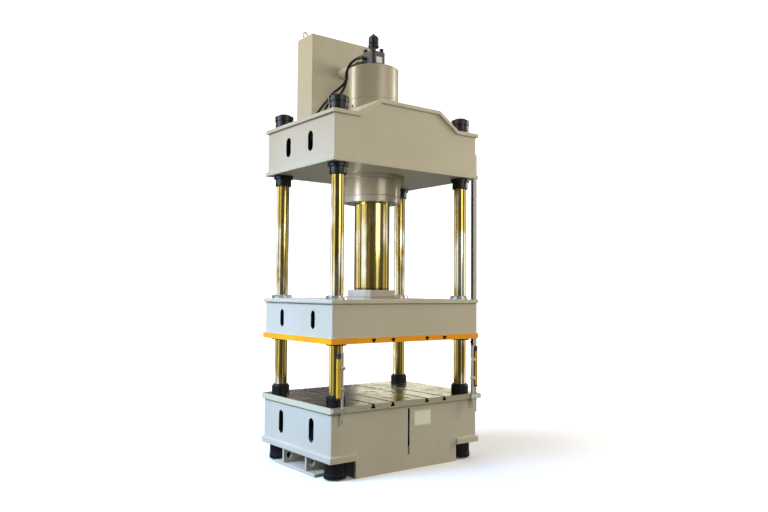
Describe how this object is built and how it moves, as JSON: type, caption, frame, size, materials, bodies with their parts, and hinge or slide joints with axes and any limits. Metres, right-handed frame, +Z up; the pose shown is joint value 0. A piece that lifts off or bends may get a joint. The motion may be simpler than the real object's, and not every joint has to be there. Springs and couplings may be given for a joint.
{
  "type": "four-column hydraulic press",
  "caption": "Upright four-column hydraulic press: T-slotted bed and moving slide on round columns, humped crown with a large cylinder, filling tank and light curtains.",
  "frame": {"origin": "on the floor, under the axis of the main cylinder", "axes": "+X to the right along the front, +Y to the rear, +Z up"},
  "size_m": [1.975, 1.638, 4.778],
  "materials": {
    "paint": "gloss",
    "column_chrome": "polished",
    "rod_chrome": "polished",
    "machined_steel": "satin",
    "black_steel": "satin",
    "orange_paint": "gloss",
    "grey_block": "satin",
    "bronze": "satin",
    "bright_steel": "satin",
    "yellow_paint": "satin",
    "blank_plate": "satin",
    "seal": "matt",
    "hose": "satin",
    "post_paint": "satin",
    "switch_plastic": "matt"
  },
  "bodies": {
    "frame": {"base_frame": "paint", "bed_table": "machined_steel", "rating_plate": "blank_plate", "column_front_left": "column_chrome", "column_front_right": "column_chrome", "column_rear_left": "column_chrome", "column_rear_right": "column_chrome", "bed_foot_nuts": "black_steel", "bed_top_nuts": "black_steel", "crown_under_nuts": "black_steel", "crown_top_nuts": "black_steel", "crown_lock_rings": "black_steel", "crown_beam": "paint", "main_cylinder": "paint", "cylinder_lock_nut": "paint", "cylinder_head_drum": "paint", "cylinder_gland": "paint", "rod_packing": "seal", "gland_bolts": "black_steel", "ejector_cylinder": "paint", "ejector_bolts": "black_steel", "filling_tank": "paint", "tank_bearers": "paint", "tank_eyes": "bright_steel", "valve_block": "grey_block", "block_screws": "black_steel", "block_tag": "blank_plate", "pressure_valve": "black_steel", "pilot_valve": "black_steel", "filling_pipe": "paint", "hose_fittings": "bright_steel", "hose_rear": "hose", "hose_front": "hose", "guard_bar_left": "yellow_paint", "guard_bar_right": "yellow_paint", "guard_rod_left": "bright_steel", "guard_rod_right": "bright_steel", "guard_bracket_left": "bright_steel", "guard_bracket_right": "bright_steel", "guard_clamps": "bright_steel", "switch_post": "post_paint", "post_brackets": "post_paint", "proximity_switch": "switch_plastic"},
    "slide": {"slide_box": "paint", "slide_platen": "orange_paint", "guide_bushes": "bronze", "guide_covers_upper": "bright_steel", "cover_bolts_upper": "black_steel", "guide_covers_lower": "black_steel", "rod_seat": "bright_steel", "rod_flange": "bright_steel", "rod_flange_bolts": "black_steel", "piston_rod": "rod_chrome", "piston": "bright_steel", "piston_rings": "seal"},
    "ejector": {"ejector_rod": "machined_steel"}
  },
  "joints": [
    {"name": "slide_stroke", "type": "slide", "parent": "frame", "child": "slide", "axis": [0, 0, 1], "range_m": [-0.136, 0.664]},
    {"name": "ejector_stroke", "type": "slide", "parent": "frame", "child": "ejector", "axis": [0, 0, 1], "range_m": [0, 0.25]}
  ]
}
